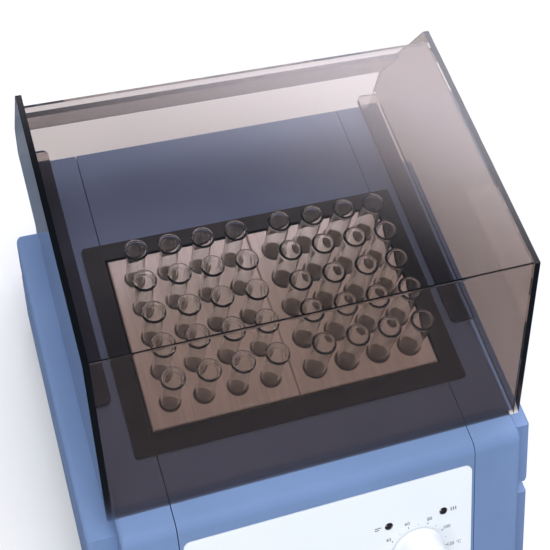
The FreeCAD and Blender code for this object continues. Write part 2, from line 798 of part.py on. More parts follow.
def rear_deck_panel():
    """Centre panel of the deck behind the blocks, with a short lip down the rear."""
    wide = (f"-{HALF_CENTRE}", HALF_CENTRE)
    under = f"{DECK} - casing_wall"
    top = box("rear_deck_top", wide, (f"{HALF_BLOCKS_Y} + {OPENING}", "rear_edge"), (under, DECK))
    lip = box("rear_deck_lip", wide, (PANEL_FACE, "rear_edge"), (f"{under} - deck_lip", DECK))
    keep(joined("rear_deck_panel", top, lip))


def surround():
    """Black frame on the deck, with a lining that drops into the opening round the blocks."""
    plate = rounded_plate("surround_plate", ("-surround_width / 2", "surround_width / 2"),
                          ("-surround_front", "surround_rear"), (DECK, f"{DECK} + surround_rise"),
                          "surround_radius")
    reach = "(block_clearance + lining_wall)"
    lining_low = f"({DECK} - lining_depth)"
    lining = box("surround_lining", *around_blocks(reach), (lining_low, DECK))
    hole = box("surround_hole", *around_blocks("block_clearance"),
               (f"{lining_low} - 1", f"{DECK} + surround_rise + 1"))
    keep(cut("well_surround", joined("surround_blank", plate, lining), hole))


# ---------------------------------------------------------------- blocks, heater and tubes

def well_places(sign):
    """Centres of one block's wells; sign is - for the left block."""
    for column in range(WELL_COLUMNS):
        for well_row in range(WELL_ROWS):
            x = f"{sign}(block_width + block_gap) / 2 + well_pitch * {column - (WELL_COLUMNS - 1) / 2}"
            y = f"well_pitch * {well_row - (WELL_ROWS - 1) / 2}"
            yield x, y


def block(side, sign):
    """One aluminium block with its grid of flat-bottomed wells."""
    body = new_body(f"block_{side}")
    near_x = f"{sign}block_gap / 2"
    far_x = f"{sign}{HALF_BLOCKS_X}"
    corners = [(near_x, f"-{HALF_BLOCKS_Y}"), (far_x, f"-{HALF_BLOCKS_Y}"),
               (far_x, HALF_BLOCKS_Y), (near_x, HALF_BLOCKS_Y)]
    pad(body, outline(body, "XY_Plane", corners, PLATE_TOP), "block_height")
    bevel_edges(body, "block_chamfer", lambda edge: near(edge.BoundBox.ZMin, BLOCK_TOP))
    pocket(body, circles(body, list(well_places(sign)), f"{side}_well", BLOCK_TOP), "well_depth")
    bevel_edges(body, "well_chamfer", lambda edge: near(edge.BoundBox.ZMin, BLOCK_TOP)
                and near(edge.BoundBox.XLength, f"{side}_well"))
    keep(body)


def heater_stack():
    """Plate under the blocks, heating mat, insulation pad and collar."""
    plate = box("plate_blank", *around_blocks(), (MAT_TOP, PLATE_TOP))
    keep(cut("heater_plate", plate, probe_duct("heater_plate")))
    keep(box("heating_mat", *around_blocks("(-mat_margin)"), (PAD_TOP, MAT_TOP)))
    reach = "(block_clearance + collar_wall)"
    keep(box("insulation_pad", *around_blocks(reach), (PAN_FLOOR, PAD_TOP)))
    ring = box("collar_blank", *around_blocks(reach), (PAD_TOP, PAN_TOP))
    hole = box("collar_hole", *around_blocks("block_clearance"), (f"{PAD_TOP} - 1", f"{PAN_TOP} + 1"))
    keep(cut("insulation_collar", ring, hole, probe_duct("insulation_collar")))


def heat_shield():
    """Steel pan that carries the heater and hangs from the side casings by its flanges."""
    outside = box("pan_blank", around("0", PAN_HALF_X), around("0", PAN_HALF_Y),
                  (f"{PAN_FLOOR} - pan_wall", PAN_TOP))
    flange = box("pan_flange", around("0", PAN_HALF_X, "pan_flange"), around("0", PAN_HALF_Y),
                 (f"{PAN_TOP} - pan_wall", PAN_TOP))
    inside = box("pan_inside", *around_blocks("(block_clearance + collar_wall)"),
                 (PAN_FLOOR, f"{PAN_TOP} + 1"))
    holes = [probe_duct("heat_shield_pan")]
    for corner, x, y in pan_screw_places():
        start = (x, y, f"{PAN_TOP} - pan_wall - 1")
        holes.append(rod(f"pan_hole_{corner}", CLEARANCE_HOLE, start, "pan_wall + 2"))
    keep(cut("heat_shield_pan", joined("pan_pressing", outside, flange), inside, *holes))


def pan_screws():
    """Four screws up through the pan's flanges into the casings' bosses."""
    seat = f"{PAN_TOP} - pan_wall"
    screws = [screw(f"pan_screw_{corner}", "pan_wall + pan_drop - 1", (x, y, seat), DOWNWARD)
              for corner, x, y in pan_screw_places()]
    keep(group("pan_screws", screws))


def thermal_parts():
    """Temperature probe in the heater plate, and the safety cut-out under the pan."""
    length = f"{PAN_HALF_Y} + probe_tail - probe_tip - 1"
    keep(rod("temperature_probe", "probe_radius", (0, "probe_tip + 1", PROBE_LEVEL), length, ALONG_Y))
    top = f"({PAN_FLOOR} - pan_wall)"
    bottom = f"({top} - cutout_height)"
    can = rod("cutout_can", "cutout_radius", ("cutout_x", "cutout_y", bottom), "cutout_height")
    ears = box("cutout_ears", around("cutout_x", "cutout_radius", "cutout_ear"),
               around("cutout_y", "ear_width / 2"), (f"{top} - pan_wall", top))
    tabs = [box(f"cutout_tab_{side}", around(f"cutout_x {sign} tab_spread", "tab_width / 2"),
                around("cutout_y", "ear_width / 2 - 1"), (f"{bottom} - tab_height", f"{bottom} + 1"))
            for side, sign in (("left", "-"), ("right", "+"))]
    keep(joined("thermal_cutout", can, ears, *tabs))


def tube_section(radius):
    """Half section of a round-bottomed tube with a flared rim, standing on Z = 0."""
    length = number("tube_length")
    wall = number("tube_wall")
    rim = number("tube_rim / 2")
    bore = radius - wall
    bead = wall * 0.75
    mouth = rim - 2 * bead
    neck = length - 4 * bead
    lean = 2 ** -0.5
    if radius > neck or mouth < bore:
        raise ValueError("the tube's rim does not suit its body")

    def on_circle(size_of_circle):
        return Vector(size_of_circle * lean, 0, radius - size_of_circle * lean)

    rim_outside = Vector(rim, 0, length - bead)
    rim_inside = Vector(mouth, 0, length - bead)
    edges = [
        Part.Arc(Vector(0, 0, 0), on_circle(radius), Vector(radius, 0, radius)),
        Part.LineSegment(Vector(radius, 0, radius), Vector(radius, 0, neck)),
        Part.LineSegment(Vector(radius, 0, neck), rim_outside),
        Part.Arc(rim_outside, Vector(rim - bead, 0, length), rim_inside),
        Part.LineSegment(rim_inside, Vector(bore, 0, neck)),
        Part.LineSegment(Vector(bore, 0, neck), Vector(bore, 0, radius)),
        Part.Arc(Vector(bore, 0, radius), on_circle(bore), Vector(0, 0, wall)),
        Part.LineSegment(Vector(0, 0, wall), Vector(0, 0, 0)),
    ]
    return Part.Face(Part.Wire([edge.toShape() for edge in edges]))


def tubes(side, sign):
    """A block's glass test tubes: separate solids in one node."""
    one_tube = tube_section(number(f"{side}_tube / 2")).revolve(Vector(0, 0, 0), Vector(0, 0, 1), 360)
    bottom = number(f"{BLOCK_TOP} - well_depth + tube_seat")
    standing = []
    for x, y in well_places(sign):
        copy = one_tube.copy()
        copy.translate(Vector(number(x), number(y), bottom))
        standing.append(copy)
    piece = document.addObject("Part::Feature", f"tubes_{side}")
    piece.Shape = Part.makeCompound(standing)
    piece.setExpression("Placement", linked(HOME))
    keep(piece)


# ---------------------------------------------------------------- control panel

def indicator_lamps():
    """Two round lenses that stand a little out of the fascia."""
    top = "fascia_thickness - fascia_sink + lamp_rise"
    lamps = []
    for side, sign in (("left", "-"), ("right", "+")):
        profile = [
            (0, "-casing_wall - 4"),
            ("lamp_radius", "-casing_wall - 4"),
            ("lamp_radius", f"{top} - lamp_rise"),
            ("lamp_radius * 0.75", f"{top} - lamp_rise / 4"),
            ("lamp_radius * 0.4", top),
            (0, top),
        ]
        place = at(f"knob_x {sign} lamp_spread", "-lamp_down", 0)
        lamps.append(turned(f"lamp_{side}", profile, f"{SLOPE} * {place}"))
    keep(group("indicator_lamps", lamps))


def potentiometer():
    """Potentiometer behind the bezel, with its bushing, and the nut that holds it."""
    bore = "shaft_radius + running_gap"
    bushing_end = f"{FASCIA_FACE} + nut_height + 1"
    profile = [
        (0, f"{POT_BACK}"),
        ("pot_radius", f"{POT_BACK}"),
        ("pot_radius", "-casing_wall"),
        ("bushing_radius", "-casing_wall"),
        ("bushing_radius", bushing_end),
        (bore, bushing_end),
        (bore, f"{POT_BACK} + pot_floor"),
        (0, f"{POT_BACK} + pot_floor"),
    ]
    keep(turned("potentiometer", profile, KNOB_AXIS))
    hexagon = prism("nut_hexagon", NUT_RADIUS, "nut_height", f"{KNOB_AXIS} * {at(0, 0, FASCIA_FACE)}")
    thread = rod("nut_thread", "bushing_radius + thread_gap", (0, 0, 0), "nut_height + 2", frame=KNOB_AXIS)
    keep(cut("potentiometer_nut", hexagon, thread))


def knob():
    """Skirted knob on the potentiometer's shaft, with an inlaid pointer."""
    low = f"({FASCIA_FACE} + knob_gap)"
    top = f"({low} + knob_height)"
    cavity = f"{NUT_RADIUS} + 1"
    cavity_top = f"({FASCIA_FACE} + nut_height + 2)"
    profile = [
        (cavity, low),
        ("knob_radius", low),
        ("knob_radius", f"{low} + knob_height * 0.08"),
        ("knob_grip + 0.3", f"{low} + knob_height * 0.18"),
        ("knob_grip", f"{low} + knob_height * 0.26"),
        ("knob_grip * 0.94", f"{top} - knob_height * 0.11"),
        ("knob_grip * 0.85", f"{top} - knob_height * 0.02"),
        ("knob_grip * 0.74", top),
        (0, top),
        (0, f"{top} - socket_roof"),
        ("shaft_radius", f"{top} - socket_roof"),
        ("shaft_radius", cavity_top),
        (cavity, cavity_top),
    ]
    blank = turned("knob_blank", profile, KNOB_AXIS)
    slot_x = around("0", "pointer_width / 2")
    slot_y = ("knob_grip * 0.35", "knob_grip * 0.74")
    slot = box("pointer_slot", slot_x, slot_y, (f"{top} - pointer_depth", f"{top} + 1"), KNOB_AXIS)
    keep(cut("temperature_knob", blank, slot))
    keep(box("knob_pointer", slot_x, slot_y, (f"{top} - pointer_depth", top), KNOB_AXIS))
    shaft_low = f"({POT_BACK} + pot_floor + 0.5)"
    length = f"{top} - socket_roof - {shaft_low}"
    keep(rod("knob_shaft", "shaft_radius", (0, 0, shaft_low), length, frame=KNOB_AXIS))


# ---------------------------------------------------------------- rear panel

def panel_screw_levels():
    """Heights of the rear panel's screws."""
    yield "low", f"{LIP} + 15"
    yield "high", f"{DECK} - 25"


def rear_panel():
    """Steel panel that closes the rear between the side casings."""
    half = f"({HALF_CENTRE} + panel_lap)"
    low = f"{FLOOR} + panel_edge"
    sheet_of_steel = box("panel_blank", (f"-{half}", half), (f"{PANEL_FACE} - panel_sheet", PANEL_FACE),
                         (low, f"{DECK} - casing_wall"))
    deep = (f"{PANEL_FACE} - panel_sheet - 1", f"{PANEL_FACE} + 1")
    holes = [
        box("inlet_hole", around("inlet_x", INLET_HALF_X, "cutout_gap"), deep,
            around(INLET_MIDDLE, INLET_HALF_Z, "cutout_gap")),
        box("switch_hole", around("switch_x", SWITCH_HALF_X, "cutout_gap"), deep,
            around(SWITCH_MIDDLE, SWITCH_HALF_Z, "cutout_gap")),
    ]
    for level, z in panel_screw_levels():
        for side, sign in (("left", "-"), ("right", "")):
            start = (f"{sign}({HALF_CENTRE} + panel_lap / 2)", f"{PANEL_FACE} - panel_sheet - 1", z)
            holes.append(rod(f"panel_pilot_{level}_{side}", PILOT_HOLE, start, "panel_sheet + 2", ALONG_Y))
    for side, x in inlet_screw_places():
        start = (x, f"{PANEL_FACE} - panel_sheet - 1", INLET_MIDDLE)
        holes.append(rod(f"inlet_pilot_{side}", PILOT_HOLE, start, "panel_sheet + 2", ALONG_Y))
    keep(cut("rear_panel", sheet_of_steel, *holes))
    screws = []
    for level, z in panel_screw_levels():
        right = screw(f"panel_screw_{level}", "casing_wall + panel_sheet + panel_bite",
                      (f"{HALF_CENTRE} + panel_lap / 2", "rear_edge", z), ALONG_Y)
        screws += [right, mirrored(f"left_panel_screw_{level}", right)]
    keep(group("rear_panel_screws", screws))


def inlet_screw_places():
    """The inlet's two screws, midway between its housing and its flange's ends, as (name, x)."""
    for side, sign in (("left", "-"), ("right", "+")):
        yield side, f"inlet_x {sign} (inlet_width / 2 + {INLET_HALF_X}) / 2"


def pin_places():
    """The inlet's three pins, as (name, x, z)."""
    middle = f"{SOCKET_LOW} + socket_height / 2"
    yield "live", "inlet_x - pin_spread", f"{middle} - 2"
    yield "neutral", "inlet_x + pin_spread", f"{middle} - 2"
    yield "earth", "inlet_x", f"{middle} + 2"


def pin(name, x, z):
    """A flat pin that is seated in the back of the socket."""
    start = f"{SOCKET_BACK} - inlet_wall"
    return box(name, around(x, "pin_width / 2"), (start, f"{start} + pin_length"),
               around(z, "pin_height / 2"))


def mains_inlet():
    """Flanged mains inlet: socket below, fuse drawer above, three pins."""
    flat = f"{HOME} * {at('inlet_x', PANEL_FACE, INLET_MIDDLE, 'vector(1; 0; 0)', '-90')}"
    flange = rounded_plate("inlet_flange_plate", ("-inlet_width / 2", "inlet_width / 2"),
                           ("-inlet_height / 2", "inlet_height / 2"), (0, "inlet_flange"), 3, flat)
    housing = box("inlet_housing", around("inlet_x", INLET_HALF_X),
                  (f"{PANEL_FACE} - inlet_depth", PANEL_FACE), around(INLET_MIDDLE, INLET_HALF_Z))
    socket = box("inlet_socket", around("inlet_x", "socket_width / 2"),
                 (SOCKET_BACK, f"{INLET_FACE} + 1"), (SOCKET_LOW, f"{SOCKET_LOW} + socket_height"))
    drawer = box("drawer_bay", around("inlet_x", "drawer_width / 2", "drawer_gap"),
                 (f"{DRAWER_BACK} - drawer_gap", f"{INLET_FACE} + 1"),
                 (f"{DRAWER_LOW} - drawer_gap", f"{DRAWER_LOW} + drawer_height + drawer_gap"))
    cutters = [socket, drawer]
    cutters += [pin(f"pin_slot_{place}", x, z) for place, x, z in pin_places()]
    for side, x in inlet_screw_places():
        start = (x, f"{PANEL_FACE} - 1", INLET_MIDDLE)
        cutters.append(rod(f"inlet_screw_hole_{side}", CLEARANCE_HOLE, start, "inlet_flange + 2", ALONG_Y))
    keep(cut("mains_inlet", joined("inlet_moulding", flange, housing), *cutters))
    keep(group("inlet_pins", [pin(f"pin_{place}", x, z) for place, x, z in pin_places()]))
    length = "inlet_flange + panel_sheet + panel_bite"
    screws = [screw(f"inlet_screw_{side}", length, (x, INLET_FACE, INLET_MIDDLE), ALONG_Y)
              for side, x in inlet_screw_places()]
    keep(group("inlet_screws", screws))


def fuse_drawer():
    """Drawer that slides out of the inlet, open on top, with a glass fuse lying across it."""
    front = f"({INLET_FACE} + 1)"
    floor = "2.5"
    solid = box("drawer_blank", around("inlet_x", "drawer_width / 2"), (DRAWER_BACK, front),
                (DRAWER_LOW, f"{DRAWER_LOW} + drawer_height"))
    fuse_y = f"(({DRAWER_BACK} + {front}) / 2)"
    tray = box("drawer_tray", around("inlet_x", "fuse_length / 2", "drawer_gap"),
               around(fuse_y, "fuse_radius", "drawer_gap"),
               (f"{DRAWER_LOW} + {floor}", f"{DRAWER_LOW} + drawer_height + 1"))
    notch = box("drawer_notch", around("inlet_x", "drawer_width / 6"), (f"{front} - 1.8", f"{front} + 1"),
                (f"{DRAWER_LOW} - 1", f"{DRAWER_LOW} + 2"))
    keep(cut("fuse_drawer", solid, tray, notch))
    start = ("inlet_x - fuse_length / 2", fuse_y, f"{DRAWER_LOW} + {floor} + drawer_gap + fuse_radius")
    keep(rod("fuse", "fuse_radius", start, "fuse_length", ALONG_X))


def power_switch():
    """Switch housing that snaps into the rear panel, its rocker and the rocker's pin."""
    flat = f"{HOME} * {at('switch_x', PANEL_FACE, SWITCH_MIDDLE, 'vector(1; 0; 0)', '-90')}"
    rim = rounded_plate("switch_rim_plate", around("0", SWITCH_HALF_X, "rim_margin"),
                        around("0", SWITCH_HALF_Z, "rim_margin"), (0, "switch_rim"), "rim_margin", flat)
    housing = box("switch_housing_box", around("switch_x", SWITCH_HALF_X),
                  (f"{PANEL_FACE} - switch_depth", PANEL_FACE), around(SWITCH_MIDDLE, SWITCH_HALF_Z))
    opening = box("switch_opening", around("switch_x", "rocker_width / 2", "rocker_gap"),
                  (f"{PANEL_FACE} - switch_depth + switch_wall", f"{PANEL_FACE} + switch_rim + 1"),
                  around(SWITCH_MIDDLE, "rocker_height / 2", "rocker_gap"))
    pin_start = (f"switch_x - {SWITCH_HALF_X}", ROCKER_AXIS_Y, SWITCH_MIDDLE)
    bearing = rod("switch_bearing", "rocker_pin + running_gap", pin_start, f"{SWITCH_HALF_X} * 2", ALONG_X)
    keep(cut("power_switch", joined("switch_moulding", rim, housing), opening, bearing))
    tilted = f"{HOME} * {at('switch_x', ROCKER_AXIS_Y, SWITCH_MIDDLE, 'vector(1; 0; 0)', 'rocker_tilt')}"
    end = "rocker_height / 2"
    profile = [("-rocker_tail", f"-{end} + 1"), ("rocker_end", f"-{end}"), ("rocker_crown", "0"),
               ("rocker_end", end), ("-rocker_tail", f"{end} - 1")]
    blank = side_profile("rocker_blank", profile, "rocker_width", "-rocker_width / 2", tilted)
    bore = rod("rocker_bore", "rocker_pin", pin_start, f"{SWITCH_HALF_X} * 2", ALONG_X)
    keep(cut("switch_rocker", blank, bore))
    keep(rod("rocker_pin", "rocker_pin", pin_start, f"{SWITCH_HALF_X} * 2", ALONG_X))


def earth_terminal():
    """Earth stud inside the rear panel, with its nut."""
    level = f"{LIP} + earth_length"
    panel_back = f"{PANEL_FACE} - panel_sheet"
    start = ("earth_x", f"{panel_back} - earth_length", level)
    stud = rod("earth_stud", "earth_radius", start, "earth_length", ALONG_Y)
    nut_place = at("earth_x", f"{panel_back} - earth_length / 2", level, *ALONG_Y)
    nut = prism("earth_nut", "earth_nut_radius", "earth_nut_height", f"{HOME} * {nut_place}")
    keep(joined("earth_terminal", stud, nut))


# ---------------------------------------------------------------- electronics

def control_board():
    """Printed board on four stand-offs, with its screws."""
    blank = box("board_blank", ("board_left", "board_right"), ("board_front", "board_rear"),
                (BOARD_LOW, BOARD_TOP))
    holes = []
    standoffs = []
    screws = []
    for corner, x, y in board_corners():
        holes.append(rod(f"board_hole_{corner}", CLEARANCE_HOLE, (x, y, FLOOR), DECK))
        profile = [(PILOT_HOLE, 0), ("standoff_radius", 0), ("standoff_radius", "standoff_height"),
                   (PILOT_HOLE, "standoff_height")]
        standoffs.append(turned(f"standoff_{corner}", profile, f"{HOME} * {at(x, y, FLOOR)}"))
        length = "board_height + standoff_height - 2"
        screws.append(screw(f"board_screw_{corner}", length, (x, y, BOARD_TOP), UPRIGHT))
    keep(cut("control_board", blank, *holes))
    keep(group("board_standoffs", standoffs))
    keep(group("board_screws", screws))


def transformer():
    """Low-voltage transformer: its iron core through its coil."""
    left = "board_left + coil_left"
    right = f"{left} + coil_width"
    rear = "board_rear - board_margin"
    front = f"{rear} - coil_depth"
    coil = box("transformer_coil", (left, right), (front, rear), (BOARD_TOP, f"{BOARD_TOP} + coil_height"))
    core = box("transformer_core", (f"{left} + core_inset", f"{right} - core_inset"),
               (f"{front} - core_reach", f"{rear} + core_reach"),
               (f"{BOARD_TOP} + core_inset / 2", f"{BOARD_TOP} + coil_height - core_inset / 2"))
    keep(joined("transformer", coil, core))


def triac_on_heatsink():
    """Triac that switches the mat, in front of its finned heat sink."""
    left = "board_left + sink_left"
    right = f"{left} + sink_pitch * {HEATSINK_FINS - 1} + fin_width"
    web_front = "board_rear - board_margin - fin_depth - web_depth"
    height = (BOARD_TOP, f"{BOARD_TOP} + sink_height")
    fin_y = (f"{web_front} + web_depth / 2", "board_rear - board_margin")
    web = box("heatsink_web", (left, right), (web_front, f"{web_front} + web_depth"), height)
    fins = []
    for fin in range(HEATSINK_FINS):
        fin_left = f"{left} + sink_pitch * {fin}"
        fins.append(box(f"heatsink_fin_{fin}", (fin_left, f"{fin_left} + fin_width"), fin_y, height))
    keep(joined("triac_heatsink", web, *fins))
    triac_low = f"({BOARD_TOP} + 2)"
    keep(box("triac", around(f"({left} + {right}) / 2", "triac_width / 2"),
             (f"{web_front} - triac_depth", web_front), (triac_low, f"{triac_low} + triac_height")))


def terminal_strip():
    """Strip of screw terminals along the board's front, open towards the front."""
    left = "board_left + strip_left"
    front = "board_front + strip_front"
    blank = box("terminal_blank", (left, f"{left} + terminal_pitch * {TERMINALS}"),
                (front, f"{front} + strip_depth"), (BOARD_TOP, f"{BOARD_TOP} + strip_height"))
    hole_y = (f"{front} - 1", f"{front} + strip_depth / 2")
    hole_z = (f"{BOARD_TOP} + strip_height * 0.2", f"{BOARD_TOP} + strip_height * 0.6")
    holes = []
    for terminal in range(TERMINALS):
        middle = f"{left} + terminal_pitch * {terminal + 0.5}"
        holes.append(box(f"terminal_hole_{terminal}", around(middle, "terminal_pitch * 0.3"), hole_y, hole_z))
    keep(cut("terminal_strip", blank, *holes))


# ---------------------------------------------------------------- cover

def cover_rear_y(height):
    """Y of the side panels' leaning rear edge at a height above the deck."""
    return f"(cover_rear - ({height} - cover_kink) * {REAR_LEAN})"


def cover_sides():
    profile = [("-cover_front", 0), ("-cover_front + cover_slope_run", "cover_height"),
               ("cover_top_rear", "cover_height"), ("cover_rear", "cover_kink"), ("cover_rear", 0)]
    right = keep(side_profile("cover_side_right", profile, "cover_sheet", COVER_INSIDE, COVER))
    keep(mirrored("cover_side_left", right))


def cover_top_front():
    """The cover's sloping front and its top, joined in a crisp edge."""
    wall = slant("cover_sheet", "cover_slope_run", "cover_height")
    under = "(cover_height - cover_sheet)"
    inner_bend = f"(-cover_front + cover_slope_run * {under} / cover_height + {wall})"
    profile = [("-cover_front", 0), ("-cover_front + cover_slope_run", "cover_height"),
               ("cover_sheet_rear", "cover_height"), ("cover_sheet_rear", under),
               (inner_bend, under), (f"-cover_front + {wall}", 0)]
    body = side_profile("cover_top_front", profile, f"{COVER_INSIDE} * 2", f"-{COVER_INSIDE}", COVER)
    crest = "-cover_front + cover_slope_run"
    round_edges(body, "cover_bend_radius", lambda edge: near(edge.CenterOfMass.y, crest)
                and near(edge.CenterOfMass.z, "cover_height"))
    keep(body)


def cover_rear_strip():
    """Leaning strip that ties the side panels together low at the rear."""
    wall = slant("cover_sheet", "(cover_rear - cover_top_rear)", "(cover_height - cover_kink)")
    profile = [("cover_rear", "cover_kink"), (cover_rear_y("strip_top"), "strip_top"),
               (f"{cover_rear_y('strip_top')} - {wall}", "strip_top"), (f"cover_rear - {wall}", "cover_kink")]
    keep(side_profile("cover_rear_strip", profile, f"{COVER_INSIDE} * 2", f"-{COVER_INSIDE}", COVER))


def cover_runners():
    """Flat rails inside the side panels, on which the cover stands on the deck."""
    x = (f"{COVER_INSIDE} - runner_width", COVER_INSIDE)
    body = new_body("cover_runner_right", COVER)
    corners = [(x[0], "-runner_front"), (x[1], "-runner_front"), (x[1], "runner_rear"), (x[0], "runner_rear")]
    pad(body, outline(body, "XY_Plane", corners), "cover_sheet")
    round_edges(body, "runner_radius", lambda edge: upright(edge) and near(edge.CenterOfMass.x, x[0]))
    keep(body)
    keep(mirrored("cover_runner_left", body))


# ---------------------------------------------------------------- whole object

def build():
    base_tray()
    rubber_feet()
    casing_screws()
    side_casings()
    wings()
    wing_screws()
    front_bezel()
    fascia()
    rear_deck_panel()
    surround()
    for side, sign in (("left", "-"), ("right", "")):
        block(side, sign)
        tubes(side, sign)
    heater_stack()
    heat_shield()
    pan_screws()
    thermal_parts()
    indicator_lamps()
    potentiometer()
    knob()
    rear_panel()
    mains_inlet()
    fuse_drawer()
    power_switch()
    earth_terminal()
    control_board()
    transformer()
    triac_on_heatsink()
    terminal_strip()
    cover_sides()
    cover_top_front()
    cover_rear_strip()
    cover_runners()
    document.recompute()


def check_document():
    """Stop if any object failed to build or any sub-part is not a sound solid."""
    for item in document.Objects:
        if {"Invalid", "Error"} & set(item.State):
            raise ValueError(f"{item.Label} is {item.State}")
    for piece in sub_parts:
        shape = piece.Shape
        if shape.isNull() or not shape.isValid() or not shape.Solids:
            raise ValueError(f"{piece.Label} has no valid solid")


def write_parts():
    os.makedirs("parts", exist_ok=True)
    for piece in sub_parts:
        piece.Shape.exportStep(f"parts/{piece.Label}.step")


build()
check_document()
write_parts()
for piece in sub_parts:
    extent = piece.Shape.BoundBox
    print(f"{piece.Label}: {len(piece.Shape.Solids)} solids, {extent.XLength:.1f} x {extent.YLength:.1f}"
          f" x {extent.ZLength:.1f}, z from {extent.ZMin:.1f}")
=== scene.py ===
"""Looks of a dry block heater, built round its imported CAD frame.

Everything is in metres in the frame's own axes: X to the right, Y to the rear, Z up. Places come from the
frame's boxes and joints. Lengths written as numbers of millimetres are multiplied by MM.
"""
import json
import math
import random

import bmesh
import bpy
from mathutils import Matrix, Vector


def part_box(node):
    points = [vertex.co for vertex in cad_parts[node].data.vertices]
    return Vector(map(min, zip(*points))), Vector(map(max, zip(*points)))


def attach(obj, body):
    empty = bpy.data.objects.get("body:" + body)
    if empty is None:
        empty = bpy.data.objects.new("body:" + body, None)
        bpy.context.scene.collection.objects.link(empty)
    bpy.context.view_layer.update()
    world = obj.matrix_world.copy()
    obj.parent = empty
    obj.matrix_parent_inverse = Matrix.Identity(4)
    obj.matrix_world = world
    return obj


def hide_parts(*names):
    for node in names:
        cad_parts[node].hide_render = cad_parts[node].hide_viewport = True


MM = 0.001
COLUMNS = 4
ROWS = 5
TUBE_WALL = 0.95 * MM
RIM_BEAD = 0.72 * MM
LEAN_LIMIT = 0.45       # degrees that a tube may lean in its well
SCALE_START = -89       # dial's angles, in degrees clockwise from straight up the slope
SCALE_STEP = 37         # between two numbers of the dial
TICK_RADIUS = 16.6 * MM
NUMBER_RADIUS = 19.9 * MM
NUMBER_SIZE = 2.9 * MM
INK_LIFT = 0.02 * MM
INK_THICKNESS = 0.03 * MM
FLOOR_DROP = 0.2 * MM   # floor just below the feet
WARM_WHITE = (1.0, 0.99, 0.96)
ROOM_LIGHT = (0.15, 0.19, 0.26, 1)
WINDOW_LIGHT = (6.2, 6.1, 6.9, 1)

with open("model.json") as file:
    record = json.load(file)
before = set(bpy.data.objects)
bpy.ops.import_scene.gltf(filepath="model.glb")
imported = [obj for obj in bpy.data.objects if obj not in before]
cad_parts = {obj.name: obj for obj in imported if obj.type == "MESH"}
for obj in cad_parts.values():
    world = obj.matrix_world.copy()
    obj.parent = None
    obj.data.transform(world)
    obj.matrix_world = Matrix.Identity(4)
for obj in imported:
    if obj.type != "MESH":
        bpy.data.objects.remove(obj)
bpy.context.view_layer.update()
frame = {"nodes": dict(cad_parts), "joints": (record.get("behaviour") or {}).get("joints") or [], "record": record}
rng = random.Random(7)
scene = bpy.context.scene


# ---------------------------------------------------------------- shader helpers

class Shader:
    """A material's node tree, with short ways to add and link its nodes."""

    def __init__(self, name):
        self.material = bpy.data.materials.new(name)
        self.material.use_nodes = True
        self.tree = self.material.node_tree
        self.tree.nodes.clear()
        self.place = self.node("TexCoord").outputs["Object"]

    def node(self, kind, settings=None, **sockets):
        """Add a node; an underscore in a socket's name stands for a space."""
        made = self.tree.nodes.new(f"ShaderNode{kind}")
        for key, value in (settings or {}).items():
            setattr(made, key, value)
        for key, value in sockets.items():
            socket = made.inputs[key.replace("_", " ")]
            if isinstance(value, bpy.types.NodeSocket):
                self.tree.links.new(value, socket)
            else:
                socket.default_value = value
        return made

    def stretched(self, x=1.0, y=1.0, z=1.0):
        """Object coordinates scaled by axis, so that a pattern runs out along one of them."""
        return self.node("Mapping", Vector=self.place, Scale=(x, y, z)).outputs["Vector"]

    def noise(self, scale, detail=2.0, roughness=0.5, place=None):
        where = place or self.place
        made = self.node("TexNoise", Vector=where, Scale=scale, Detail=detail, Roughness=roughness)
        return made.outputs["Fac"]

    def remap(self, value, low, high, to_low, to_high):
        made = self.node("MapRange", Value=value)
        for key, number in zip(("From Min", "From Max", "To Min", "To Max"), (low, high, to_low, to_high)):
            made.inputs[key].default_value = number
        return made.outputs["Result"]

    def mix(self, factor, first, second, blend="MIX"):
        """Mix two colours by a factor."""
        made = self.tree.nodes.new("ShaderNodeMix")
        made.data_type = "RGBA"
        made.blend_type = blend
        for index, value in ((0, factor), (6, first), (7, second)):
            if isinstance(value, bpy.types.NodeSocket):
                self.tree.links.new(value, made.inputs[index])
            else:
                made.inputs[index].default_value = value
        return made.outputs[2]

    def bump(self, height, depth, strength=1.0, normal=None):
        made = self.node("Bump", Height=height, Distance=depth, Strength=strength)
        if normal is not None:
            self.tree.links.new(normal, made.inputs["Normal"])
        return made.outputs["Normal"]

    def edge_highlight_mask(self, radius, reach=0.02):
        """1 on edges whose faces turn within a radius, 0 on flat ground."""
        soft = self.node("Bevel", {"samples": 4}, Radius=radius).outputs["Normal"]
        hard = self.node("NewGeometry").outputs["Normal"]
        likeness = self.node("VectorMath", {"operation": "DOT_PRODUCT"})
        self.tree.links.new(soft, likeness.inputs[0])
        self.tree.links.new(hard, likeness.inputs[1])
        return self.remap(likeness.outputs["Value"], 1.0 - reach, 1.0 - 5 * reach, 0.0, 1.0)

    def finish(self, surface, volume=None):
        output = self.node("OutputMaterial")
        self.tree.links.new(surface.outputs[0], output.inputs["Surface"])
        if volume is not None:
            self.tree.links.new(volume.outputs[0], output.inputs["Volume"])
        return self.material


def srgb(red, green, blue):
    """A colour as eyes name it, 0 to 255, turned into linear light."""
    def linear(value):
        value /= 255
        return value / 12.92 if value <= 0.04045 else ((value + 0.055) / 1.055) ** 2.4
    return (linear(red), linear(green), linear(blue), 1.0)


def shade(colour, factor):
    return tuple(channel * factor for channel in colour[:3]) + (1.0,)


# ---------------------------------------------------------------- materials

